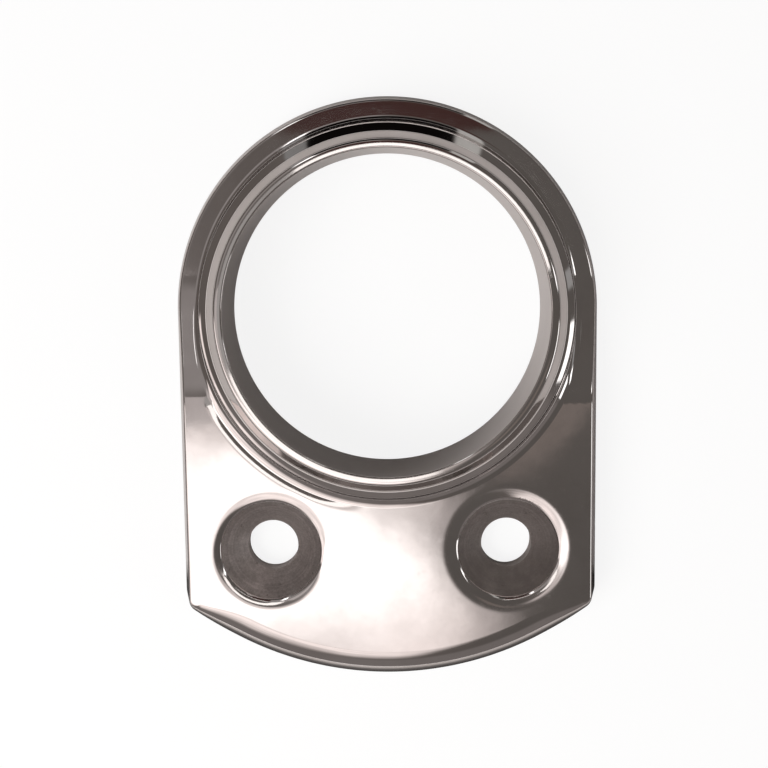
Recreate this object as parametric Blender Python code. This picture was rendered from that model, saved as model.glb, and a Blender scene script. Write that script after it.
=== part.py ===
"""Fairlead chock: a cast base with a turned rope ring pressed into its collar.

Metres, +Z up. The part lies on its mounting face, z = 0. The origin is on that face, midway
between the two screw holes; +Z is the direction of the bore and +Y points at the arch.
"""

import math

import bmesh
import bpy
import numpy as np

MM = 0.001

# Where the bore is
BORE_Y = 39.4 * MM

# Outline of the base on its mounting face, about the bore's centre
ARCH_R = 35.0 * MM
ARCH_CENTRE_Y = -0.25 * MM
FOOT_R = 54.3 * MM
FOOT_CENTRE_Y = -8.05 * MM
CORNER_R = 4.0 * MM

# Base casting: a drafted wall with a rounded top edge, wide at the foot and small elsewhere,
# and a flange that ramps up to the plate. Heights are above the mounting face.
WALL_DRAFT = math.radians(12.3)
EDGE_R = 0.5 * MM
FOOT_EDGE_R = 4.9 * MM
FOOT_EDGE_STARTS_Y = -47.7 * MM
FOOT_EDGE_FULL_Y = -56.0 * MM
FLANGE_Z = 3.5 * MM
PLATE_Z = 7.6 * MM
PLATE_STARTS_Y = 6.0 * MM
PLATE_FULL_Y = -15.5 * MM

# Collar: a fillet, wider on the plate than on the flange, a steep wall and a leaning land
RIM_Z = 13.1 * MM
FLANGE_FILLET_R = 1.0 * MM
PLATE_FILLET_R = 2.3 * MM
FLANGE_FILLET_FOOT_R = 31.6 * MM
PLATE_FILLET_FOOT_R = 32.4 * MM
COLLAR_LEAN = math.radians(84.0)
LAND_LEAN = math.radians(25.0)
COLLAR_RADII = tuple(r * MM for r in (32.4, 31.9, 31.5, 31.1, 30.8, 30.6, 30.4, 30.15, 29.9, 29.75))

# Rope ring
BORE_R = 25.5 * MM
LIP_Z = 16.4 * MM
SLEEVE_R = 28.1 * MM
SHOULDER_R = 29.35 * MM
SHOULDER_Z = 11.9 * MM
OUTER_WALL = (  # radius, height: over the rolled lip and down the outside to the shoulder
    (25.5 * MM, 16.15 * MM),
    (25.57 * MM, 16.32 * MM),
    (25.75 * MM, 16.4 * MM),
    (26.4 * MM, 16.38 * MM),
    (26.7 * MM, 16.3 * MM),
    (27.0 * MM, 16.08 * MM),
    (28.1 * MM, 14.34 * MM),
    (28.35 * MM, 14.05 * MM),
    (28.7 * MM, 13.78 * MM),
    (29.1 * MM, 13.58 * MM),
    (29.28 * MM, 13.5 * MM),
    (29.35 * MM, 13.38 * MM),
)

# Fit of the ring in the casting
FIT_GAP = 0.3 * MM

# Screw holes for an 8 mm or 5/16 inch countersunk screw
HOLE_X = 19.6 * MM
HOLE_R = 4.2 * MM
HOLE_LAND_Z = 3.0 * MM
CONE_R = 8.2 * MM
CONE_Z = 7.0 * MM
DIMPLE = (  # radius, height: polished roll from the cone's rim out to the plate
    (8.35 * MM, 7.22 * MM),
    (9.2 * MM, 7.45 * MM),
    (10.4 * MM, 7.8 * MM),
)
CUT_MARGIN = 3.0 * MM

# Facets
ARCH_STEPS = 60
SIDE_STEPS = 12
CORNER_STEPS = 6
FOOT_STEPS = 28
TOP_RINGS = 12
RING_STEPS = 96
HOLE_STEPS = 40


def clear_scene():
    for thing in list(bpy.data.objects):
        bpy.data.objects.remove(thing, do_unlink=True)


def metal(name, colour, roughness):
    material = bpy.data.materials.new(name)
    material.use_nodes = True
    shader = material.node_tree.nodes["Principled BSDF"]
    shader.inputs["Base Color"].default_value = (*colour, 1.0)
    shader.inputs["Metallic"].default_value = 1.0
    shader.inputs["Roughness"].default_value = roughness
    material.diffuse_color = (*colour, 1.0)
    return material


def add_object(name, mesh):
    thing = bpy.data.objects.new(name, mesh)
    bpy.context.collection.objects.link(thing)
    return thing


def smoothstep(t):
    t = np.clip(t, 0.0, 1.0)
    return t * t * (3.0 - 2.0 * t)


def arc(centre, radius, start, end, steps):
    """Points from start up to, and not including, end, and the ways in from them."""
    angles = start + (end - start) * np.arange(steps) / steps
    out = np.column_stack((np.cos(angles), np.sin(angles)))
    return np.array(centre) + radius * out, -out


def straight(x, start_y, end_y, steps):
    """Points down or up one straight side, and the ways in from them."""
    heights = start_y + (end_y - start_y) * np.arange(steps) / steps
    points = np.column_stack((np.full(steps, x), heights))
    inward = np.column_stack((np.full(steps, -math.copysign(1.0, x)), np.zeros(steps)))
    return points, inward


def outline():
    """The base's outline on its mounting face, anticlockwise, and the ways in from it."""
    corner_x = ARCH_R - CORNER_R
    drop = math.sqrt((FOOT_R - CORNER_R) ** 2 - corner_x**2)
    corner_y = FOOT_CENTRE_Y - drop
    turn = math.atan2(-drop, corner_x)
    parts = (
        arc((0.0, ARCH_CENTRE_Y), ARCH_R, 0.0, math.pi, ARCH_STEPS),
        straight(-ARCH_R, ARCH_CENTRE_Y, corner_y, SIDE_STEPS),
        arc((-corner_x, corner_y), CORNER_R, math.pi, math.pi - turn, CORNER_STEPS),
        arc((0.0, FOOT_CENTRE_Y), FOOT_R, -math.pi - turn, turn, FOOT_STEPS),
        arc((corner_x, corner_y), CORNER_R, turn, 0.0, CORNER_STEPS),
        straight(ARCH_R, corner_y, ARCH_CENTRE_Y, SIDE_STEPS),
    )
    return np.concatenate([part[0] for part in parts]), np.concatenate([part[1] for part in parts])


def collar_rise(radius, plate_share):
    """How far the collar rises above the face round it: a fillet, then a steep wall."""
    fillet_r = FLANGE_FILLET_R + (PLATE_FILLET_R - FLANGE_FILLET_R) * plate_share
    foot_r = FLANGE_FILLET_FOOT_R + (PLATE_FILLET_FOOT_R - FLANGE_FILLET_FOOT_R) * plate_share
    into = foot_r - radius
    turned_in = fillet_r * math.sin(COLLAR_LEAN)
    across = np.clip(into, 0.0, turned_in)
    fillet = fillet_r - np.sqrt(fillet_r**2 - across**2)
    return fillet + np.clip(into - turned_in, 0.0, None) * math.tan(COLLAR_LEAN)


def top_height(x, y):
    """Height of the casting's upper face: flange, ramp, plate and collar."""
    plate_share = smoothstep((PLATE_STARTS_Y - y) / (PLATE_STARTS_Y - PLATE_FULL_Y))
    base = FLANGE_Z + (PLATE_Z - FLANGE_Z) * plate_share
    radius = np.hypot(x, y)
    land = RIM_Z - (radius - SHOULDER_R - FIT_GAP) * math.tan(LAND_LEAN)
    return np.minimum(base + collar_rise(radius, plate_share), np.maximum(land, base))


def circle_under(points, radius):
    return points * (radius / np.hypot(points[:, 0], points[:, 1]))[:, None]


def loop_at(points, height):
    return np.column_stack((points, np.broadcast_to(height, len(points))))


def loop_on_top(points):
    return loop_at(points, top_height(points[:, 0], points[:, 1]))


def wall_rings(points, inward):
    """Loops up the drafted wall and over its rounded edge, and the line where the top starts."""
    inset = np.full(len(points), 1.0 * MM)
    foot_span = FOOT_EDGE_STARTS_Y - FOOT_EDGE_FULL_Y
    foot_share = smoothstep((FOOT_EDGE_STARTS_Y - points[:, 1]) / foot_span)
    edge_r = EDGE_R + (FOOT_EDGE_R - EDGE_R) * foot_share
    step = 0.02 * MM
    for _ in range(6):
        edge = points + inward * inset[:, None]
        ahead = edge + inward * step
        height = top_height(edge[:, 0], edge[:, 1])
        slope = (top_height(ahead[:, 0], ahead[:, 1]) - height) / step
        top_turn = math.pi / 2 - np.arctan(slope)
        centre_z = height - edge_r * np.sin(top_turn)
        wall_z = centre_z + edge_r * math.sin(WALL_DRAFT)
        centre_inset = wall_z * math.tan(WALL_DRAFT) + edge_r * math.cos(WALL_DRAFT)
        inset = centre_inset - edge_r * np.cos(top_turn)
    rings = [loop_at(points, 0.0)]
    for t in np.linspace(0.0, 1.0, 6):
        turn = WALL_DRAFT + (top_turn - WALL_DRAFT) * t
        along = centre_inset - edge_r * np.cos(turn)
        rings.append(loop_at(points + inward * along[:, None], centre_z + edge_r * np.sin(turn)))
    return rings, edge


def casting_rings():
    """Loops of the casting's skin: up the wall, over the top, down the counterbore, and back."""
    rings, start = wall_rings(*outline())
    foot = circle_under(start, COLLAR_RADII[0])
    for i in range(1, TOP_RINGS):
        t = (1.0 - math.cos(math.pi * i / TOP_RINGS)) / 2.0
        rings.append(loop_on_top(start * (1.0 - t) + foot * t))
    for radius in COLLAR_RADII:
        rings.append(loop_on_top(circle_under(start, radius)))
    counterbore = circle_under(start, SHOULDER_R + FIT_GAP)
    socket = circle_under(start, SLEEVE_R + FIT_GAP)
    seat_z = SHOULDER_Z - FIT_GAP
    rings += [loop_at(counterbore, RIM_Z), loop_at(counterbore, seat_z)]
    rings += [loop_at(socket, seat_z), loop_at(socket, 0.0)]
    return rings


def mesh_from_rings(name, rings):
    """A closed skin through loops of equal length, the last joined to the first."""
    shape = bmesh.new()
    loops = [[shape.verts.new((x, y + BORE_Y, z)) for x, y, z in ring] for ring in rings]
    count = len(loops[0])
    for a, b in zip(loops, loops[1:] + loops[:1]):
        for i in range(count):
            j = (i + 1) % count
            shape.faces.new((a[i], a[j], b[j], b[i]))
    bmesh.ops.recalc_face_normals(shape, faces=shape.faces)
    mesh = bpy.data.meshes.new(name)
    shape.to_mesh(mesh)
    shape.free()
    return mesh


def turned(name, profile, steps, centre):
    """A profile of (radius, height), turned about the Z axis through centre."""
    shape = bmesh.new()
    corners = [shape.verts.new((radius, 0.0, height)) for radius, height in profile]
    for a, b in zip(corners, corners[1:] + corners[:1]):
        shape.edges.new((a, b))
    mesh = bpy.data.meshes.new(name)
    shape.to_mesh(mesh)
    shape.free()
    thing = add_object(name, mesh)
    thing.location = (centre[0], centre[1], 0.0)
    screw = thing.modifiers.new("turn", "SCREW")
    screw.angle = math.tau
    screw.steps = steps
    screw.render_steps = steps
    screw.use_merge_vertices = True
    screw.merge_threshold = 0.000001
    screw.use_smooth_shade = True
    return thing


def ring_profile():
    """The ring's section: over the lip, down the outer side and up the bore."""
    profile = list(OUTER_WALL)
    profile += [(SHOULDER_R, SHOULDER_Z), (SLEEVE_R, SHOULDER_Z), (SLEEVE_R, 0.0)]
    profile.append((BORE_R, 0.0))
    return profile


def screw_hole_profile():
    """Section of the countersink cutter, down its outer side and up its axis."""
    above = PLATE_Z + CUT_MARGIN
    below = -CUT_MARGIN
    profile = [(DIMPLE[-1][0], above)]
    profile += list(reversed(DIMPLE))
    profile += [(CONE_R, CONE_Z), (HOLE_R, HOLE_LAND_Z), (HOLE_R, below)]
    profile += [(0.0, below), (0.0, above)]
    return profile


def cut(thing, cutter):
    cutter.hide_render = True
    cutter.display_type = "WIRE"
    boolean = thing.modifiers.new(cutter.name, "BOOLEAN")
    boolean.operation = "DIFFERENCE"
    boolean.solver = "EXACT"
    boolean.object = cutter


def make_base_casting():
    polished = metal("polished_casting", (0.72, 0.69, 0.67), 0.12)
    mesh = mesh_from_rings("base_casting", casting_rings())
    mesh.shade_smooth()
    mesh.set_sharp_from_angle(angle=math.radians(35))
    mesh.materials.append(polished)
    casting = add_object("base_casting", mesh)
    for side, label in ((-1, "left"), (1, "right")):
        centre = (side * HOLE_X, 0.0)
        cut(casting, turned(f"{label}_screw_hole", screw_hole_profile(), HOLE_STEPS, centre))


def make_rope_ring():
    polished = metal("polished_ring", (0.75, 0.72, 0.7), 0.08)
    ring = turned("rope_ring", ring_profile(), RING_STEPS, (0.0, BORE_Y))
    ring.data.materials.append(polished)


clear_scene()
make_base_casting()
make_rope_ring()
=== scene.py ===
"""Fairlead chock: the finished surfaces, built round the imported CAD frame.

Metres, +Z up, the same frame as the CAD. Both CAD nodes are stood for by finer pieces of the
same size: a polished cast base with machined countersinks, and a turned, polished rope ring.
"""

import math

import bpy
import bmesh
import numpy as np
from mathutils import Matrix, Vector


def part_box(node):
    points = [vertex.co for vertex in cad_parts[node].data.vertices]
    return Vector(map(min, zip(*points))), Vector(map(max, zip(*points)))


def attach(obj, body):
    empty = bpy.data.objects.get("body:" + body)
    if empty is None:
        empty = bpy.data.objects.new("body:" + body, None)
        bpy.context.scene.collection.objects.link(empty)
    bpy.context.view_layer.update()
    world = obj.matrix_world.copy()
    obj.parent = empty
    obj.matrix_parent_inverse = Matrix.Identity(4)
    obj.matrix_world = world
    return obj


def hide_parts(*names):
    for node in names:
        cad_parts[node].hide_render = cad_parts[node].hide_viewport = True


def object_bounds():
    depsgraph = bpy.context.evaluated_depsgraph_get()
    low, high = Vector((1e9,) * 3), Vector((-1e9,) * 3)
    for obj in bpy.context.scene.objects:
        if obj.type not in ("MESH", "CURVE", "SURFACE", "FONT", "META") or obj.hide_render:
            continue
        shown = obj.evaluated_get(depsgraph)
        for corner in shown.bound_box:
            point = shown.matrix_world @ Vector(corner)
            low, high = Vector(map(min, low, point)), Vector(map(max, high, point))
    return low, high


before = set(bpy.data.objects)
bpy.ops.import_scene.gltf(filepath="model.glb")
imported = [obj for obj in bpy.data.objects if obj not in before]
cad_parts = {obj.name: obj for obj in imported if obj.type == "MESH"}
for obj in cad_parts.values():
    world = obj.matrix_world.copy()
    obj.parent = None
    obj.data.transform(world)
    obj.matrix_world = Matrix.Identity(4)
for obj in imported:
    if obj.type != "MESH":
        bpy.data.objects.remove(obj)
cad_low, cad_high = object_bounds()

MM = 0.001
CASTING_LOW, CASTING_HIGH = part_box("base_casting")
RING_LOW, RING_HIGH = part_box("rope_ring")

# Places and sizes that the frame gives; lengths below without a place are about the bore's axis
BORE_Y = (RING_LOW.y + RING_HIGH.y) / 2
ARCH_R = CASTING_HIGH.x
RIM_Z = CASTING_HIGH.z
LIP_Z = RING_HIGH.z
FOOT_REACH = BORE_Y - CASTING_LOW.y

# Base casting: its outline, its drafted wall with a top edge that widens at the foot, and the
# faces on top, with a shallow polished dip, the moat, beside the collar
ARCH_CENTRE_Y = -0.25 * MM
FOOT_R = 54.3 * MM
FOOT_CENTRE_Y = FOOT_R - FOOT_REACH
CORNER_R = 4.0 * MM
WALL_DRAFT = math.radians(12.3)
EDGE_R = 0.5 * MM
FOOT_EDGE_R = 4.9 * MM
FOOT_EDGE_STARTS_Y = -47.7 * MM
FOOT_EDGE_FULL_Y = -56.0 * MM
FLANGE_Z = 3.5 * MM
PLATE_Z = 7.6 * MM
PLATE_STARTS_Y = 6.0 * MM
PLATE_FULL_Y = -15.5 * MM
MOAT_STARTS_Y = -12.5 * MM
MOAT_FULL_Y = -19.0 * MM
MOAT_STARTS_X = -3.0 * MM
MOAT_FULL_X = -13.0 * MM
MOAT_WIDTH = 1.3 * MM
MOAT_DEPTH = 0.07 * MM

# Collar round the ring: a fillet, wider on the plate than on the flange, a steep wall and a land
FLANGE_FILLET_R = 1.0 * MM
PLATE_FILLET_R = 2.3 * MM
FLANGE_FILLET_FOOT_R = 31.6 * MM
PLATE_FILLET_FOOT_R = 32.4 * MM
COLLAR_LEAN = math.radians(84.0)
LAND_BLEND = 0.25 * MM
COLLAR_TOP_R = 30.6 * MM
LAND_LEAN = math.radians(25.0)
COLLAR_R = 29.68 * MM
RIM_BREAK_R = 0.03 * MM
RIM_BREAK_Z = 0.05 * MM
SEAT_Z = 11.6 * MM
SOCKET_R = 28.3 * MM

# Screw holes, with a polished dimple round each; the dimple goes on a little way inside the
# cone and is level from there, and the cutter starts below the mounting face
HOLE_X = 19.6 * MM
HOLE_R = 4.2 * MM
HOLE_LAND_Z = 3.0 * MM
CONE_R = 8.2 * MM
CONE_Z = 7.0 * MM
LIP_OF_HOLE = ((8.26, 7.13), (8.32, 7.22), (8.42, 7.29), (8.58, 7.34), (9.10, 7.62), (14.0, 13.0))
DIMPLE_R = 11.2 * MM
DIMPLE_DROP = 0.3 * MM
DIMPLE_LIMIT = 1.1
CUTTER_DROP = 2.0 * MM

# Rope ring; the wall is given by its lean in degrees and by where it ends
BORE_R = 25.5 * MM
BACK_CHAMFER = 0.2 * MM
LIP_EDGE_R = 0.22 * MM
LIP_FACE_ROUND = 14.0 * MM
LIP_ROUND_R = 0.65 * MM
WALL_LEAN = 58.0
WALL_FOOT_R = 28.1 * MM
WALL_FOOT_Z = 14.34 * MM
SHOULDER_Z = 11.9 * MM
SLEEVE_R = 28.1 * MM

# Fineness of the meshes
ARCH_STEPS = 216
SIDE_STEPS = 56
CORNER_STEPS = 14
FOOT_STEPS = 170
TOP_RINGS = 84
COLLAR_RINGS = 44
RING_STEPS = 384
HOLE_STEPS = 144
WALL_RINGS = 5
EDGE_RINGS = 20

# How far a point may lie off a surface and still count as on it, how nearly a face has to point
# the way the shape does there (as a cosine), and the angle from which an edge is drawn sharp
ON_TOP = 0.004 * MM
ON_CONE = 0.03 * MM
ON_RADIUS = 0.02 * MM
ALIKE = 0.6
CASTING_SHARP = math.radians(28)
RING_SHARP = math.radians(32)

# Metals: tints, roughness and waviness, and the scales of their noises per metre
CASTING_TINTS = ((0.74, 0.70, 0.685), (0.66, 0.62, 0.605))
CASTING_ROUGHNESS = 0.045
CASTING_WAVINESS = 0.000016
RING_TINTS = ((0.74, 0.70, 0.685), (0.68, 0.64, 0.62))
RING_ROUGHNESS = 0.04
RING_WAVINESS = 0.000003
HAZE_SCALE = 90.0
GRAIN_SCALE = 900.0
GRAIN_DEPTH = 0.0000006
SWELL_SCALE = 130.0
COUNTERSINK_TINTS = ((0.8, 0.745, 0.73), (0.34, 0.31, 0.295))
COUNTERSINK_ROUGHNESS = 0.62
COUNTERSINK_DEPTH = 0.00003
TOOL_RINGS_SCALE = 2600.0
MOTTLE_SCALE = 450.0
SPECKLE_SCALE = 3200.0
PITS_SCALE = 1000.0

# Camera, about the bore's axis and the mounting face
CAMERA_FROM_BORE = Vector((1.66, 13.55, 213.07)) * MM
CAMERA_LOOK = Vector((-0.0108, -0.12239, -0.99242))
CAMERA_UP = Vector((0.01109, 0.99241, -0.12251))
CAMERA_LENS = 59.8

# Softbox and leaf of light: places are the slopes x/z (across) and y/z (along) of the direction
# they are seen in, and each SOFT is half the width over which an edge fades
SURROUND = (0.135, 0.12, 0.112)
SOFTBOX_RIGHT = 0.037
RIGHT_SOFT = 0.03
SOFTBOX_FLARE = -0.025
FLARE_ALONG = (-0.31, -0.26)
FLARE_SOFT = 0.05
FLARE_SOFT_ALONG = (-0.31, -0.24)
SOFTBOX_LEFT = -1.6
LEFT_SOFT = 0.25
SOFTBOX_TOP = -0.12
TOP_SOFT = 0.035
SOFTBOX_BOTTOM = -0.88
BOTTOM_SOFT = 0.5
SOFTBOX_LEAN = 0.5
SOFTBOX_RAGGED = 0.05
RAGGED_SCALE = 18.0
CLOUD_SCALE = 7.0
SOFTBOX_SHEET = (1.22, 1.12, 1.09)
SOFTBOX_CORE = (1.75, 1.7, 1.68)
CORE_ACROSS = -0.30
CORE_ALONG = -0.235
CORE_TILT = 0.12
CORE_HALF_WIDTH = 0.335
CORE_HALF_HEIGHT = 0.09
CORE_SOFT = 0.25
DIM_TILT = 0.6
DIM_ALONG = (-0.258, -0.22)
DIM_TO = 0.64
LEAF = (0.215, 0.185, 0.17)
LEAF_ACROSS = 0.118
LEAF_ALONG = -0.157
LEAF_HALF_LENGTH = 0.055
LEAF_HALF_WIDTH = 0.02
LEAF_SOFT = 0.3

# Soft light that only dull surfaces see
KEY_AZIMUTH = 215.0
KEY_ELEVATION = 48.0
KEY_DISTANCE = 0.45
KEY_SIZE = 0.3
KEY_RADIANCE = (5.2, 5.1, 5.05)

# What stands beside the camera, in millimetres about the bore's axis: parts of a pale round
# case, the dark hand that holds it and a grey sleeve
CASE_CENTRE = np.array((-1.7, -13.5))
CASE_INNER_R = 40.0
CASE_OUTER_R = 56.0
CASE_PARTS = (  # name, first and last bearing in degrees, brightness
    ("case_far", 15.0, 122.0, 1.5),
    ("case_left", 122.0, 200.0, 0.4),
    ("case_near", 200.0, 288.0, 1.5),
)
CASE_TINT = (1.0, 0.97, 0.95)
HAND = ((-36.0, 44.0), (48.0, 44.0), (52.0, 110.0), (-40.0, 110.0))
HAND_RADIANCE = (0.058, 0.027, 0.024)
SLEEVE = ((-58.0, -50.0), (-58.0, -3.0), (-140.0, -3.0), (-140.0, -60.0))
SLEEVE_RADIANCE = (0.55, 0.51, 0.5)
CARD_SPACING = 0.5 * MM

# Floor: what the camera sees, and what gloss sees at a distance from the bore's axis in metres
FLOOR_HALF = 4.0
FLOOR_DROP = 0.05 * MM
FLOOR_SEEN = (0.16, 0.16, 0.16)
FLOOR_SEEN_GLOW = (0.86, 0.86, 0.86)
FLOOR_MIRRORED = (0.68, 0.66, 0.65)
FLOOR_FAR_GLOW = 0.34
FLOOR_FAR = (0.14, 0.24)
# Painted shadow that only gloss sees: the floor darkens in a ring round the bore's axis beside the
# foot
FLOOR_SHADE_STARTS = (0.055, 0.059)
FLOOR_SHADE_ENDS = (0.063, 0.1)
FLOOR_SHADE_SHARE = 0.12

# name, azimuth from +X, half width, lowest and highest elevation, softness (degrees),
# brightness, tint
STUDIO = (
    ("left ceiling", 165.0, 75.0, 48.0, 79.0, 5.0, 0.31, (1.0, 0.93, 0.91)),
    ("right side", 0.0, 75.0, -10.0, 95.0, 10.0, 0.115, (1.0, 0.92, 0.86)),
    ("front", -90.0, 60.0, -20.0, 36.0, 6.0, 0.2, (1.0, 0.91, 0.88)),
    ("doorway", 92.0, 25.0, -5.0, 44.0, 0.8, 0.004, (1.0, 0.8, 0.8)),
    ("left frame", 121.0, 4.0, 42.0, 65.0, 0.8, 2.2, (1.0, 1.0, 1.0)),
    ("left frame foot", 121.0, 4.0, -5.0, 42.0, 0.8, 0.25, (1.0, 1.0, 1.0)),
    ("right frame", 62.0, 4.5, 0.0, 60.0, 0.8, 0.5, (1.0, 1.0, 0.97)),
    ("lamp", 6.0, 4.0, 42.0, 62.0, 0.8, 2.2, (1.0, 1.0, 1.0)),
    ("lamp foot", 6.0, 3.0, 10.0, 42.0, 0.8, 0.35, (1.0, 1.0, 1.0)),
    ("window", -17.0, 9.5, 20.0, 40.0, 0.8, 1.8, (1.0, 1.0, 1.0)),
)


# Outline and height of the casting -------------------------------------------------------------


def smoothstep(t):
    t = np.clip(t, 0.0, 1.0)
    return t * t * (3.0 - 2.0 * t)


def arc(centre, radius, start, end, steps):
    """Points from start up to, and not including, end, and the ways in from them."""
    angles = start + (end - start) * np.arange(steps) / steps
    out = np.column_stack((np.cos(angles), np.sin(angles)))
    return np.array(centre) + radius * out, -out


def straight(start, end, steps):
    t = np.arange(steps)[:, None] / steps
    points = np.array(start) * (1.0 - t) + np.array(end) * t
    inward = np.array((-math.copysign(1.0, start[0]), 0.0))
    return points, np.broadcast_to(inward, points.shape)


def outline():
    """The casting's outline at its mounting face, anticlockwise, and the ways in from it."""
    corner_x = ARCH_R - CORNER_R
    drop = math.sqrt((FOOT_R - CORNER_R) ** 2 - corner_x**2)
    corner_y = FOOT_CENTRE_Y - drop
    turn = math.atan2(-drop, corner_x)
    parts = (
        arc((0.0, ARCH_CENTRE_Y), ARCH_R, 0.0, math.pi, ARCH_STEPS),
        straight((-ARCH_R, ARCH_CENTRE_Y), (-ARCH_R, corner_y), SIDE_STEPS),
        arc((-corner_x, corner_y), CORNER_R, math.pi, math.pi - turn, CORNER_STEPS),
        arc((0.0, FOOT_CENTRE_Y), FOOT_R, -math.pi - turn, turn, FOOT_STEPS),
        arc((corner_x, corner_y), CORNER_R, turn, 0.0, CORNER_STEPS),
        straight((ARCH_R, corner_y), (ARCH_R, ARCH_CENTRE_Y), SIDE_STEPS),
    )
    return (np.concatenate([part[i] for part in parts]) for i in (0, 1))


def collar_rise(radius, plate_share):
    """How far the collar rises above the face round it: a fillet, then a steep wall."""
    fillet_r = FLANGE_FILLET_R + (PLATE_FILLET_R - FLANGE_FILLET_R) * plate_share
    foot_r = FLANGE_FILLET_FOOT_R + (PLATE_FILLET_FOOT_R - FLANGE_FILLET_FOOT_R) * plate_share
    into = foot_r - radius
    turned_in = fillet_r * math.sin(COLLAR_LEAN)
    across = np.clip(into, 0.0, turned_in)
    fillet = fillet_r - np.sqrt(fillet_r**2 - across**2)
    return fillet + np.clip(into - turned_in, 0.0, None) * math.tan(COLLAR_LEAN)


def dimple(x, y):
    """How far the polished roll round each screw hole dips below the plate."""
    from_hole = np.hypot(np.abs(x) - HOLE_X, y + BORE_Y)
    roll = np.clip((DIMPLE_R - from_hole) / (DIMPLE_R - CONE_R), 0.0, DIMPLE_LIMIT)
    return DIMPLE_DROP * roll**3


def top_height(x, y):
    """Height of the upper face: flange, ramp, plate and collar."""
    plate_share = smoothstep((PLATE_STARTS_Y - y) / (PLATE_STARTS_Y - PLATE_FULL_Y))
    radius = np.hypot(x, y)
    moat = np.clip((PLATE_FILLET_FOOT_R + MOAT_WIDTH - radius) / MOAT_WIDTH, 0.0, 1.0)
    moat_share = smoothstep((MOAT_STARTS_Y - y) / (MOAT_STARTS_Y - MOAT_FULL_Y))
    moat_share *= smoothstep((MOAT_STARTS_X - x) / (MOAT_STARTS_X - MOAT_FULL_X))
    base = FLANGE_Z + (PLATE_Z - FLANGE_Z) * plate_share - MOAT_DEPTH * moat_share * moat**2
    rise = base + collar_rise(radius, plate_share)
    land = RIM_Z - (radius - COLLAR_R) * math.tan(LAND_LEAN)
    land = np.maximum(land, base)
    blend = np.clip(LAND_BLEND - np.abs(rise - land), 0.0, None)
    blend = np.where(radius < COLLAR_TOP_R, blend, 0.0)
    return np.minimum(rise, land) - blend**2 / (4.0 * LAND_BLEND) - dimple(x, y)


def top_normal(x, y, reach=0.01 * MM):
    """Unit normal of the upper face, from its height on both sides of each point."""
    slope_x = (top_height(x + reach, y) - top_height(x - reach, y)) / (2 * reach)
    slope_y = (top_height(x, y + reach) - top_height(x, y - reach)) / (2 * reach)
    normal = np.column_stack((-slope_x, -slope_y, np.ones_like(x)))
    return normal / np.linalg.norm(normal, axis=1)[:, None]


# Meshes ----------------------------------------------------------------------------------------


def ring_at(points, height):
    return np.column_stack((points, np.broadcast_to(height, len(points))))


def circle_under(points, radius):
    return points * (radius / np.hypot(points[:, 0], points[:, 1]))[:, None]


def wall_rings(points, inward):
    """Loops up the drafted wall and over its rounded top edge, and where the top face starts."""
    inset = np.full(len(points), 1.0 * MM)
    foot_span = FOOT_EDGE_STARTS_Y - FOOT_EDGE_FULL_Y
    foot_share = smoothstep((FOOT_EDGE_STARTS_Y - points[:, 1]) / foot_span)
    edge_r = EDGE_R + (FOOT_EDGE_R - EDGE_R) * foot_share
    step = 0.02 * MM
    for _ in range(6):
        edge = points + inward * inset[:, None]
        ahead = edge + inward * step
        height = top_height(edge[:, 0], edge[:, 1])
        slope = (top_height(ahead[:, 0], ahead[:, 1]) - height) / step
        top_turn = math.pi / 2 - np.arctan(slope)
        centre_z = height - edge_r * np.sin(top_turn)
        wall_z = centre_z + edge_r * math.sin(WALL_DRAFT)
        wall_inset = wall_z * math.tan(WALL_DRAFT)
        centre_inset = wall_inset + edge_r * math.cos(WALL_DRAFT)
        inset = centre_inset - edge_r * np.cos(top_turn)
    rings = []
    for t in np.arange(WALL_RINGS) / WALL_RINGS:
        rings.append(ring_at(points + inward * (wall_inset * t)[:, None], wall_z * t))
    for t in np.linspace(0.0, 1.0, EDGE_RINGS):
        turn = WALL_DRAFT + (top_turn - WALL_DRAFT) * t
        along = centre_inset - edge_r * np.cos(turn)
        rings.append(ring_at(points + inward * along[:, None], centre_z + edge_r * np.sin(turn)))
    return rings, edge


def casting_rings():
    """Loops of the casting's skin: up the wall, over the top, down the counterbore to the back."""
    rings, start = wall_rings(*outline())
    foot = circle_under(start, PLATE_FILLET_FOOT_R)
    for i in range(1, TOP_RINGS):
        t = (1.0 - math.cos(math.pi * i / TOP_RINGS)) / 2.0
        points = start * (1.0 - t) + foot * t
        rings.append(ring_at(points, top_height(points[:, 0], points[:, 1])))
    for radius in np.linspace(PLATE_FILLET_FOOT_R, COLLAR_R, COLLAR_RINGS):
        points = circle_under(start, radius)
        rings.append(ring_at(points, top_height(points[:, 0], points[:, 1])))
    rings.append(ring_at(circle_under(start, COLLAR_R - RIM_BREAK_R), RIM_Z - RIM_BREAK_Z))
    rings.append(ring_at(circle_under(start, COLLAR_R - RIM_BREAK_R), SEAT_Z))
    rings.append(ring_at(circle_under(start, SOCKET_R), SEAT_Z))
    rings.append(ring_at(circle_under(start, SOCKET_R), 0.0))
    return rings


def mesh_from_rings(name, rings):
    """A closed skin through loops of equal length, the last joined to the first."""
    count = len(rings[0])
    points = np.concatenate(rings) + np.array((0.0, BORE_Y, 0.0))
    ring = np.arange(len(rings))[:, None] * count
    step = np.arange(count)[None, :]
    after = np.roll(np.arange(len(rings)), -1)[:, None] * count
    turn = (step + 1) % count
    quads = np.stack((ring + step, ring + turn, after + turn, after + step), axis=-1)
    mesh = bpy.data.meshes.new(name)
    mesh.from_pydata(points.tolist(), [], quads.reshape(-1, 4).tolist())
    return mesh


def turned_mesh(name, profile, steps, centre):
    """A closed section of (radius, height), turned about the Z axis through centre."""
    angles = math.tau * np.arange(steps) / steps
    round_ = np.column_stack((np.cos(angles), np.sin(angles)))
    rings = [ring_at(round_ * radius, height) for radius, height in profile]
    mesh = mesh_from_rings(name, rings)
    mesh.transform(Matrix.Translation((centre[0], centre[1] - BORE_Y, 0.0)))
    return mesh


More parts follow.
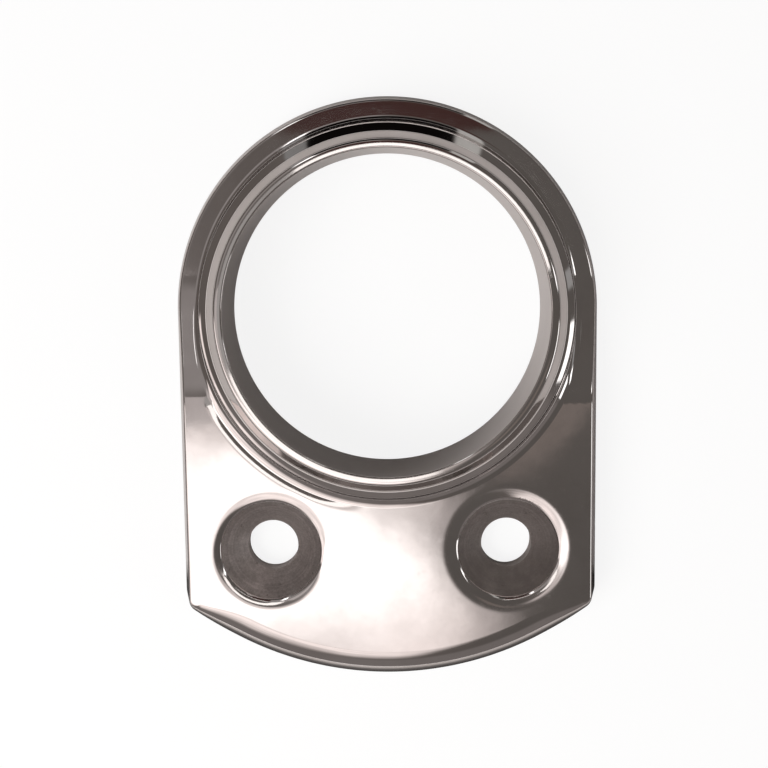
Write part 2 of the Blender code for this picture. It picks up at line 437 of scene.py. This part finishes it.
def face_out(mesh):
    """Joins points that lie together and turns every face outward."""
    shape = bmesh.new()
    shape.from_mesh(mesh)
    bmesh.ops.remove_doubles(shape, verts=shape.verts, dist=1e-7)
    bmesh.ops.recalc_face_normals(shape, faces=shape.faces)
    shape.to_mesh(mesh)
    shape.free()


def add_object(name, mesh, materials):
    for material in materials:
        mesh.materials.append(material)
    thing = bpy.data.objects.new(name, mesh)
    bpy.context.scene.collection.objects.link(thing)
    return thing


def hole_section():
    """Section of the hole cutter: shank, cone, a short step and the rounded lip above it."""
    centre = 0.0001 * MM
    lip = [(radius * MM, height * MM) for radius, height in LIP_OF_HOLE]
    shank = [(centre, -CUTTER_DROP), (HOLE_R, -CUTTER_DROP), (HOLE_R, HOLE_LAND_Z), (CONE_R, CONE_Z)]
    return shank + lip + [(centre, lip[-1][1])]


def cut_holes(casting):
    """Cuts both countersunk holes through the casting."""
    cutters = []
    for side in (-1, 1):
        mesh = turned_mesh("cutter", hole_section(), HOLE_STEPS, (side * HOLE_X, 0.0))
        face_out(mesh)
        cutter = add_object("cutter", mesh, [])
        boolean = casting.modifiers.new("hole", "BOOLEAN")
        boolean.operation = "DIFFERENCE"
        boolean.solver = "EXACT"
        boolean.object = cutter
        cutters.append(cutter)
    depsgraph = bpy.context.evaluated_depsgraph_get()
    cut = bpy.data.meshes.new_from_object(casting.evaluated_get(depsgraph))
    casting.modifiers.clear()
    casting.data = cut
    for cutter in cutters:
        bpy.data.objects.remove(cutter)


def read(items, name, width, kind=np.float64):
    """One value of every item as an array, with a row for each item when it is a vector."""
    values = np.empty(len(items) * width, dtype=kind)
    items.foreach_get(name, values)
    return values.reshape(-1, width) if width > 1 else values


def in_holes(points):
    """Which points lie on a hole's dull walls rather than on polished metal."""
    from_hole = np.hypot(np.abs(points[:, 0]) - HOLE_X, points[:, 1])
    share = (from_hole - HOLE_R) / (CONE_R - HOLE_R)
    cone_z = HOLE_LAND_Z + (CONE_Z - HOLE_LAND_Z) * share
    on_cone = np.abs(points[:, 2] - cone_z) < ON_CONE
    return (from_hole < HOLE_R + ON_RADIUS) | (on_cone & (from_hole < CONE_R + ON_RADIUS))


def finish_casting(mesh):
    """Marks the dull hole walls, and gives the polished top the exact normals of its shape."""
    centres = read(mesh.polygons, "center", 3)
    dull = in_holes(centres)
    mesh.polygons.foreach_set("material_index", dull.astype(np.int32))
    mesh.shade_smooth()
    mesh.set_sharp_from_angle(angle=CASTING_SHARP)
    normals = read(mesh.corner_normals, "vector", 3)
    corner = read(mesh.loops, "vertex_index", 1, np.int64)
    totals = read(mesh.polygons, "loop_total", 1, np.int64)
    place = read(mesh.vertices, "co", 3)[corner] - np.array((0.0, BORE_Y, 0.0))
    height = top_height(place[:, 0], place[:, 1])
    radius = np.hypot(place[:, 0], place[:, 1])
    face_normals = np.repeat(read(mesh.polygons, "normal", 3), totals, axis=0)
    exact = top_normal(place[:, 0], place[:, 1])
    alike = np.sum(face_normals * exact, axis=1) > ALIKE
    chosen = ~np.repeat(dull, totals) & alike & (radius > COLLAR_R - 0.001 * MM)
    chosen &= np.abs(place[:, 2] - height) < ON_TOP
    normals[chosen] = exact[chosen]
    mesh.normals_split_custom_set(normals.tolist())


def turned_arc(start, radius, first, last, steps):
    """Section points that go on from start round an arc, between two directions of travel."""
    points = []
    turns = np.radians(np.linspace(first, last, steps + 1))
    side = 1.0 if last > first else -1.0
    centre = (start[0] - side * radius * math.sin(turns[0]),
              start[1] + side * radius * math.cos(turns[0]))
    for turn in turns[1:]:
        points.append((centre[0] + side * radius * math.sin(turn),
                       centre[1] - side * radius * math.cos(turn)))
    return points


def ring_section():
    """The ring's section: up the bore, over the lip, down the outer wall and round the foot."""
    path = [(BORE_R + BACK_CHAMFER, 0.0)]
    for z in np.linspace(BACK_CHAMFER, LIP_Z - LIP_EDGE_R, 10):
        path.append((BORE_R, z))
    path += turned_arc(path[-1], LIP_EDGE_R, 90.0, 1.5, 8)
    path += turned_arc(path[-1], LIP_FACE_ROUND, 1.5, -1.5, 8)
    path += turned_arc(path[-1], LIP_ROUND_R, -1.5, -WALL_LEAN, 16)
    wall_top = path[-1]
    for t in np.linspace(0.0, 1.0, 10)[1:]:
        path.append((wall_top[0] + (WALL_FOOT_R - wall_top[0]) * t,
                     wall_top[1] + (WALL_FOOT_Z - wall_top[1]) * t))
    path += turned_arc(path[-1], 0.4 * MM, -WALL_LEAN, -44.0, 5)
    path += turned_arc(path[-1], 3.5 * MM, -44.0, -20.0, 12)
    path += turned_arc(path[-1], 0.2 * MM, -20.0, -90.0, 6)
    path.append((path[-1][0], SHOULDER_Z))
    path += [(SLEEVE_R, SHOULDER_Z), (SLEEVE_R, BACK_CHAMFER), (SLEEVE_R - BACK_CHAMFER, 0.0)]
    return path


# Materials -------------------------------------------------------------------------------------


class Graph:
    """Adds nodes to a tree; a value given for an input is a socket or a plain value."""

    def __init__(self, tree):
        self.tree = tree

    def add(self, kind, inputs=None, **settings):
        node = self.tree.nodes.new("ShaderNode" + kind)
        for name, value in settings.items():
            setattr(node, name, value)
        for name, value in (inputs or {}).items():
            if isinstance(value, bpy.types.NodeSocket):
                self.tree.links.new(value, node.inputs[name])
            else:
                node.inputs[name].default_value = value
        return node

    def math(self, operation, *values):
        return self.add("Math", dict(enumerate(values)), operation=operation).outputs[0]

    def ramp(self, value, low, high, to_low, to_high):
        inputs = {"Value": value, "From Min": low, "From Max": high}
        inputs.update({"To Min": to_low, "To Max": to_high})
        return self.add("MapRange", inputs, interpolation_type="SMOOTHSTEP").outputs[0]

    def mix(self, factor, a, b):
        node = self.add("Mix", {"Factor": factor}, data_type="RGBA")
        for index, value in ((6, a), (7, b)):
            if isinstance(value, bpy.types.NodeSocket):
                self.tree.links.new(value, node.inputs[index])
            else:
                node.inputs[index].default_value = (*value[:3], 1.0)
        return node.outputs[2]

    def noise(self, vector, scale, detail=3.0, roughness=0.5):
        inputs = {"Vector": vector, "Scale": scale, "Detail": detail, "Roughness": roughness}
        return self.add("TexNoise", inputs).outputs[0]


def new_metal(name):
    """A metal material's graph and its shader; what varies is linked by the caller."""
    material = bpy.data.materials.new(name)
    material.use_nodes = True
    shader = material.node_tree.nodes["Principled BSDF"]
    shader.inputs["Metallic"].default_value = 1.0
    return material, Graph(material.node_tree), shader


def place_of(graph):
    return graph.add("TexCoord").outputs["Object"]


def polished(name, colour, dark, roughness, waviness):
    """Mirror-polished metal: faint waviness, fine wheel marks and a little grease-like haze."""
    material, graph, shader = new_metal(name)
    place = place_of(graph)
    haze = graph.noise(place, HAZE_SCALE, 4.0, 0.6)
    grain = graph.noise(place, GRAIN_SCALE, 3.0, 0.55)
    links = graph.tree.links
    tint = graph.mix(graph.ramp(haze, 0.35, 0.7, 0.0, 1.0), colour, dark)
    links.new(tint, shader.inputs["Base Color"])
    rough = graph.math("ADD", graph.ramp(haze, 0.3, 0.75, roughness, roughness * 1.8),
                       graph.ramp(grain, 0.55, 0.8, 0.0, roughness * 0.8))
    links.new(rough, shader.inputs["Roughness"])
    swell = graph.noise(place, SWELL_SCALE, 2.0, 0.4)
    inputs = {"Height": swell, "Distance": waviness, "Strength": 1.0}
    wave = graph.add("Bump", inputs)
    inputs = {"Height": grain, "Distance": GRAIN_DEPTH, "Strength": 1.0, "Normal": wave.outputs[0]}
    marks = graph.add("Bump", inputs)
    links.new(marks.outputs[0], shader.inputs["Normal"])
    return material


def machined(name, colour, dark, roughness):
    """The countersinks: dull tool-cut metal with rings round each hole, pits, glints and painted
    shade.
    """
    material, graph, shader = new_metal(name)
    place = place_of(graph)
    split = graph.add("SeparateXYZ", {"Vector": place}).outputs
    across = graph.math("SUBTRACT", graph.math("ABSOLUTE", split[0]), HOLE_X)
    from_hole = graph.math("SQRT", graph.math(
        "ADD", graph.math("POWER", across, 2.0), graph.math("POWER", split[1], 2.0)))
    turned = graph.add("CombineXYZ", {"X": from_hole, "Y": 0.0, "Z": 0.0}).outputs[0]
    rings = graph.noise(turned, TOOL_RINGS_SCALE, 3.0, 0.65)
    mottle = graph.noise(place, MOTTLE_SCALE, 4.0, 0.6)
    speckle = graph.noise(place, SPECKLE_SCALE, 2.0, 0.6)
    pits = graph.ramp(graph.noise(place, PITS_SCALE, 3.0, 0.6), 0.28, 0.36, 0.0, 1.0)
    # Painted shade: the right-hand countersink is darkened, most at its lower side, and the left one
    # a little
    right = graph.ramp(split[1], -0.005, 0.005, 0.28, 0.75)
    shade = graph.ramp(split[0], -0.01, 0.01, 0.95, right)
    # The tool rings, mottle, speckle and pits are the metal's own tone, multiplied into the painted
    # shade
    for layer, darkest in ((rings, 0.6), (mottle, 0.7), (speckle, 0.65)):
        shade = graph.math("MULTIPLY", shade, graph.ramp(layer, 0.35, 0.65, darkest, 1.0))
    shade = graph.math("MULTIPLY", shade, graph.math("ADD", 0.2, graph.math("MULTIPLY", pits, 0.8)))
    tint = graph.mix(shade, dark, colour)
    graph.tree.links.new(tint, shader.inputs["Base Color"])
    rough = graph.ramp(mottle, 0.3, 0.7, roughness, roughness * 0.7)
    graph.tree.links.new(rough, shader.inputs["Roughness"])
    height = graph.math("ADD", graph.math("MULTIPLY", rings, 0.5), pits)
    inputs = {"Height": height, "Distance": COUNTERSINK_DEPTH, "Strength": 0.8}
    bump = graph.add("Bump", inputs)
    graph.tree.links.new(bump.outputs[0], shader.inputs["Normal"])
    return material


# Studio ----------------------------------------------------------------------------------------


def soft_step(graph, value, edge, soft):
    """Rises smoothly from 0 to 1 as value passes the edge."""
    return graph.ramp(value, edge - soft, edge + soft, 0.0, 1.0)


def leaf(graph, across, along):
    """How much of a faint, leaf-shaped light is there: a slanting ellipse beside the softbox."""
    off_x = graph.math("MULTIPLY", graph.math("SUBTRACT", across, LEAF_ACROSS), 0.7)
    off_y = graph.math("MULTIPLY", graph.math("SUBTRACT", along, LEAF_ALONG), 0.7)
    lengthwise = graph.math("DIVIDE", graph.math("ADD", off_x, off_y), LEAF_HALF_LENGTH)
    sideways = graph.math("DIVIDE", graph.math("SUBTRACT", off_x, off_y), LEAF_HALF_WIDTH)
    off = graph.math("SQRT", graph.math("ADD", graph.math("MULTIPLY", lengthwise, lengthwise),
                                        graph.math("MULTIPLY", sideways, sideways)))
    return graph.math("SUBTRACT", 1.0, soft_step(graph, off, 1.0, LEAF_SOFT))


def softbox(graph, direction, across, along):
    """How bright the overhead softbox is in a direction, and how much of it is there."""
    ragged = graph.math("MULTIPLY", graph.math(
        "SUBTRACT", graph.noise(direction, RAGGED_SCALE, 5.0, 0.6), 0.5), SOFTBOX_RAGGED)
    across = graph.math("ADD", across, ragged)
    along = graph.math("ADD", along, ragged)
    right = graph.math("ADD", across, graph.ramp(along, *FLARE_ALONG, SOFTBOX_FLARE, 0.0))
    softness = graph.ramp(along, *FLARE_SOFT_ALONG, FLARE_SOFT, RIGHT_SOFT)
    past_right = graph.math("DIVIDE", graph.math("SUBTRACT", right, SOFTBOX_RIGHT), softness)
    mask = graph.math("SUBTRACT", 1.0, soft_step(graph, past_right, 0.0, 1.0))
    mask = graph.math("MULTIPLY", mask, soft_step(graph, across, SOFTBOX_LEFT, LEFT_SOFT))
    leaning = graph.math("SUBTRACT", along, graph.math("MULTIPLY", across, SOFTBOX_LEAN))
    mask = graph.math("MULTIPLY", mask, soft_step(graph, leaning, SOFTBOX_BOTTOM, BOTTOM_SOFT))
    top = graph.math("SUBTRACT", 1.0, soft_step(graph, along, SOFTBOX_TOP, TOP_SOFT))
    mask = graph.math("MULTIPLY", mask, top)
    from_middle = graph.math("SUBTRACT", across, CORE_ACROSS)
    off_x = graph.math("DIVIDE", from_middle, CORE_HALF_WIDTH)
    sunk = graph.math("MULTIPLY", from_middle, CORE_TILT)
    off_y = graph.math("SUBTRACT", graph.math("ADD", along, sunk), CORE_ALONG)
    off_y = graph.math("DIVIDE", off_y, CORE_HALF_HEIGHT)
    off = graph.math("SQRT", graph.math("ADD", graph.math("MULTIPLY", off_x, off_x),
                                        graph.math("MULTIPLY", off_y, off_y)))
    core = graph.math("SUBTRACT", 1.0, soft_step(graph, off, 1.0, CORE_SOFT))
    clouds = graph.ramp(graph.noise(direction, CLOUD_SCALE, 3.0, 0.5), 0.3, 0.7, 0.8, 1.2)
    sheet = graph.add("VectorMath", {0: SOFTBOX_SHEET, "Scale": clouds}, operation="SCALE")
    glow = graph.mix(core, sheet.outputs[0], SOFTBOX_CORE)
    tilted = graph.math("ADD", along, graph.math("MULTIPLY", across, DIM_TILT))
    near_top = graph.ramp(tilted, *DIM_ALONG, 1.0, DIM_TO)
    dimmed = graph.add("VectorMath", {0: glow, "Scale": near_top}, operation="SCALE")
    return dimmed.outputs[0], mask


def make_world():
    """Dim warm surroundings with a few soft lights and a dark gap; pale where the camera looks."""
    world = bpy.data.worlds.new("studio")
    bpy.context.scene.world = world
    world.use_nodes = True
    graph = Graph(world.node_tree)
    background = world.node_tree.nodes["Background"]
    direction = graph.add("TexCoord").outputs["Generated"]
    split = graph.add("SeparateXYZ", {"Vector": direction}).outputs
    elevation = graph.math("DEGREES", graph.math("ARCSINE", split[2]))
    colour = SURROUND
    for name, azimuth, half_width, low, high, soft, strength, tint in STUDIO:
        turn = {"Vector": direction, "Angle": -math.radians(azimuth)}
        turned = graph.add("VectorRotate", turn, rotation_type="Z_AXIS").outputs[0]
        flat = graph.add("SeparateXYZ", {"Vector": turned}).outputs
        around = graph.math("ABSOLUTE", graph.math("DEGREES", graph.math(
            "ARCTAN2", flat[1], flat[0])))
        wide = graph.ramp(around, half_width - soft, half_width + soft, 1.0, 0.0)
        middle, half = (low + high) / 2, (high - low) / 2
        off = graph.math("ABSOLUTE", graph.math("SUBTRACT", elevation, middle))
        tall = graph.ramp(off, half - soft, half + soft, 1.0, 0.0)
        radiance = [strength * c for c in tint]
        colour = graph.mix(graph.math("MULTIPLY", wide, tall), colour, radiance)
    height = graph.math("MAXIMUM", split[2], 0.05)
    across = graph.math("DIVIDE", split[0], height)
    along = graph.math("DIVIDE", split[1], height)
    colour = graph.mix(leaf(graph, across, along), colour, LEAF)
    light, mask = softbox(graph, direction, across, along)
    colour = graph.mix(mask, colour, light)
    seen = graph.add("LightPath").outputs["Is Camera Ray"]
    colour = graph.mix(seen, colour, (1.0, 1.0, 1.0))
    world.node_tree.links.new(colour, background.inputs["Color"])


def glowing(name, radiance):
    """A dull material that only gives out light."""
    material = bpy.data.materials.new(name)
    material.use_nodes = True
    shader = material.node_tree.nodes["Principled BSDF"]
    shader.inputs["Base Color"].default_value = (0.0, 0.0, 0.0, 1.0)
    shader.inputs["Specular IOR Level"].default_value = 0.0
    shader.inputs["Emission Color"].default_value = (*radiance, 1.0)
    shader.inputs["Emission Strength"].default_value = 1.0
    return material


def add_card(name, corners, height, radiance):
    """A level card beside the camera, given about the bore's axis, that only gloss sees."""
    mesh = bpy.data.meshes.new(name)
    points = [(x * MM, BORE_Y + y * MM, height) for x, y in corners]
    mesh.from_pydata(points, [], [tuple(range(len(points)))])
    card = add_object(name, mesh, [glowing(name, radiance)])
    card.visible_camera = False
    card.visible_shadow = False
    card.visible_diffuse = False


def make_cards():
    """What stands beside the camera: a pale round case, a dark hand and a grey sleeve."""
    level = CAMERA_FROM_BORE.z + CARD_SPACING
    for name, first, last, glow in CASE_PARTS:
        turns = np.radians(np.linspace(first, last, 24))
        around = np.column_stack((np.cos(turns), np.sin(turns)))
        case = [CASE_CENTRE + CASE_OUTER_R * way for way in around]
        case += [CASE_CENTRE + CASE_INNER_R * way for way in around[::-1]]
        add_card(name, case, level, [glow * c for c in CASE_TINT])
    add_card("hand", HAND, level + CARD_SPACING, HAND_RADIANCE)
    add_card("sleeve", SLEEVE, level + 2 * CARD_SPACING, SLEEVE_RADIANCE)


def make_key_light():
    """A large soft light, low on the left, that lights the floor but isn't seen in gloss."""
    azimuth, elevation = math.radians(KEY_AZIMUTH), math.radians(KEY_ELEVATION)
    level = math.cos(elevation)
    way = Vector((level * math.cos(azimuth), level * math.sin(azimuth), math.sin(elevation)))
    mesh = bpy.data.meshes.new("key_light")
    half = KEY_SIZE / 2
    corners = [(-half, -half, 0.0), (half, -half, 0.0), (half, half, 0.0), (-half, half, 0.0)]
    mesh.from_pydata(corners, [], [(0, 1, 2, 3)])
    light = add_object("key_light", mesh, [glowing("key_light", KEY_RADIANCE)])
    middle = Vector((0.0, BORE_Y, 0.0)) + way * KEY_DISTANCE
    light.matrix_world = Matrix.Translation(middle) @ way.to_track_quat("Z", "Y").to_matrix().to_4x4()
    light.visible_camera = False
    light.visible_glossy = False
    light.visible_shadow = False


def make_floor():
    """A pale level floor; in gloss it is dimmer, with a painted shadow in a ring round the bore's
    axis beside the foot.
    """
    mesh = bpy.data.meshes.new("floor")
    half = FLOOR_HALF
    z = cad_low.z - FLOOR_DROP
    corners = [(-half, -half, z), (half, -half, z), (half, half, z), (-half, half, z)]
    mesh.from_pydata(corners, [], [(0, 1, 2, 3)])
    material = bpy.data.materials.new("floor")
    material.use_nodes = True
    graph = Graph(material.node_tree)
    shader = material.node_tree.nodes["Principled BSDF"]
    shader.inputs["Roughness"].default_value = 0.9
    shader.inputs["Specular IOR Level"].default_value = 0.2
    shader.inputs["Emission Color"].default_value = (1.0, 1.0, 1.0, 1.0)
    seen = graph.add("LightPath").outputs["Is Camera Ray"]
    place = graph.add("SeparateXYZ", {"Vector": place_of(graph)}).outputs
    down = graph.math("SUBTRACT", place[1], BORE_Y)
    from_bore = graph.math("SQRT", graph.math(
        "ADD", graph.math("POWER", place[0], 2.0), graph.math("POWER", down, 2.0)))
    # Painted shadow in gloss, in a ring round the bore's axis beside the foot
    inside = graph.ramp(from_bore, *FLOOR_SHADE_STARTS, 1.0, 0.0)
    outside = graph.ramp(from_bore, *FLOOR_SHADE_ENDS, FLOOR_SHADE_SHARE, 1.0)
    pale = graph.math("MAXIMUM", inside, outside)
    mirrored = graph.mix(pale, (0.0, 0.0, 0.0), FLOOR_MIRRORED)
    albedo = graph.mix(seen, mirrored, FLOOR_SEEN)
    material.node_tree.links.new(albedo, shader.inputs["Base Color"])
    far_glow = graph.ramp(from_bore, *FLOOR_FAR, 0.0, FLOOR_FAR_GLOW)
    glow = graph.mix(seen, far_glow, FLOOR_SEEN_GLOW)
    material.node_tree.links.new(glow, shader.inputs["Emission Strength"])
    floor = add_object("floor", mesh, [material])


def make_camera():
    data = bpy.data.cameras.new("camera")
    data.lens = CAMERA_LENS
    data.sensor_width = 36.0
    data.clip_start = 0.01
    camera = bpy.data.objects.new("camera", data)
    bpy.context.scene.collection.objects.link(camera)
    back = -CAMERA_LOOK.normalized()
    right = CAMERA_UP.cross(back).normalized()
    up = back.cross(right)
    turn = Matrix((right, up, back)).transposed().to_4x4()
    place = Vector((0.0, BORE_Y, 0.0)) + CAMERA_FROM_BORE
    camera.matrix_world = Matrix.Translation(place) @ turn
    bpy.context.scene.camera = camera


# The two pieces --------------------------------------------------------------------------------


def make_casting():
    mirror = polished("casting_polish", *CASTING_TINTS, CASTING_ROUGHNESS, CASTING_WAVINESS)
    dull = machined("countersink", *COUNTERSINK_TINTS, COUNTERSINK_ROUGHNESS)
    mesh = mesh_from_rings("cast_base", casting_rings())
    face_out(mesh)
    casting = add_object("cast_base", mesh, [mirror, dull])
    cut_holes(casting)
    finish_casting(casting.data)
    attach(casting, "root")
    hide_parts("base_casting")


def make_ring():
    mirror = polished("ring_polish", *RING_TINTS, RING_ROUGHNESS, RING_WAVINESS)
    mesh = turned_mesh("turned_ring", ring_section(), RING_STEPS, (0.0, BORE_Y))
    face_out(mesh)
    mesh.shade_smooth()
    mesh.set_sharp_from_angle(angle=RING_SHARP)
    ring = add_object("turned_ring", mesh, [mirror])
    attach(ring, "root")
    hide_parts("rope_ring")


make_casting()
make_ring()
make_world()
make_floor()
make_cards()
make_key_light()
make_camera()
bpy.context.scene.view_settings.view_transform = "Standard"
